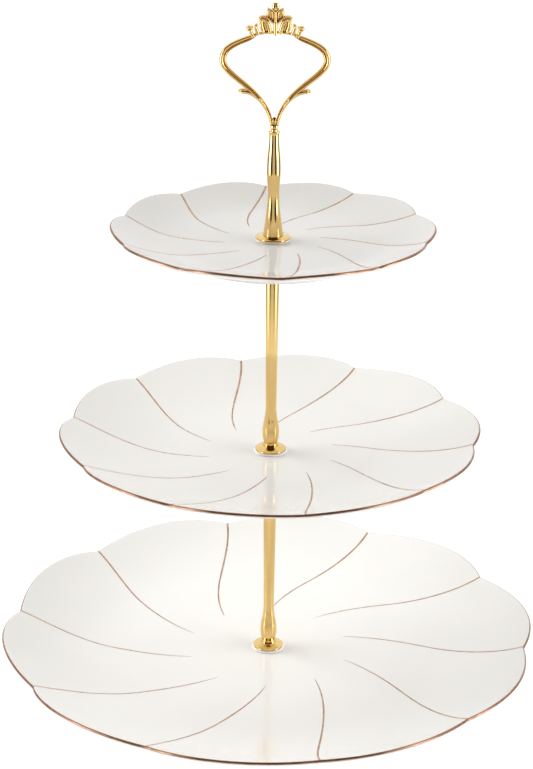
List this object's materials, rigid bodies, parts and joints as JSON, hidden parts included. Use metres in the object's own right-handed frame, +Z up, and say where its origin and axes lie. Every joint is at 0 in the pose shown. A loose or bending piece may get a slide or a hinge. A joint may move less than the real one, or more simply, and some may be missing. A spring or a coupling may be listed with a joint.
{
  "type": "tiered cake stand",
  "caption": "Tiered cake stand: scalloped, swirl-lined porcelain plates on a slim gold post with a crowned open-loop carrying handle that unscrews.",
  "frame": {"origin": "on the axis of the post, at the underside of the bottom plate's foot ring", "axes": "+Z up along the post; the handle's open loop lies in the XZ plane; -Y is the front"},
  "size_m": [0.2648, 0.264, 0.3353],
  "materials": {
    "porcelain": "glossy white glaze with thin gold lines and a gold rim",
    "gold": "polished gold plating",
    "steel": "bright zinc plating",
    "gasket": "soft translucent off-white"
  },
  "bodies": {
    "bottom_tier": {"bottom_plate": "porcelain", "bottom_lower_gasket": "gasket", "bottom_upper_gasket": "gasket"},
    "column": {"base_washer": "steel", "base_screw": "steel", "lower_rod_flange": "gold", "lower_rod": "gold", "middle_washer": "steel", "middle_stud": "steel", "middle_rod_flange": "gold", "middle_rod": "gold", "top_washer": "steel", "top_stud": "steel", "stem_flange": "gold"},
    "middle_tier": {"middle_plate": "porcelain", "middle_lower_gasket": "gasket", "middle_upper_gasket": "gasket"},
    "top_tier": {"top_plate": "porcelain", "top_lower_gasket": "gasket", "top_upper_gasket": "gasket"},
    "stem": {"handle_stem": "gold"},
    "crown": {"crown_handle": "gold"}
  },
  "joints": [
    {"name": "column_swivel", "type": "hinge", "parent": "bottom_tier", "child": "column", "pos_m": [0, 0, 0.0092], "axis": [0, 0, 1], "continuous": true},
    {"name": "middle_tier_swivel", "type": "hinge", "parent": "column", "child": "middle_tier", "pos_m": [0, 0, 0.1164], "axis": [0, 0, 1], "continuous": true},
    {"name": "top_tier_swivel", "type": "hinge", "parent": "column", "child": "top_tier", "pos_m": [0, 0, 0.2236], "axis": [0, 0, 1], "continuous": true},
    {"name": "handle_rise", "type": "slide", "parent": "column", "child": "stem", "axis": [0, 0, 1], "range_m": [0, 0.00752]},
    {"name": "handle_turn", "type": "hinge", "parent": "stem", "child": "crown", "pos_m": [0, 0, 0.2758], "axis": [0, 0, 1], "range_deg": [0, 3871]}
  ],
  "couplings": [
    {"joint": "handle_turn", "follows": "handle_rise", "rad_per_m": 8976}
  ]
}
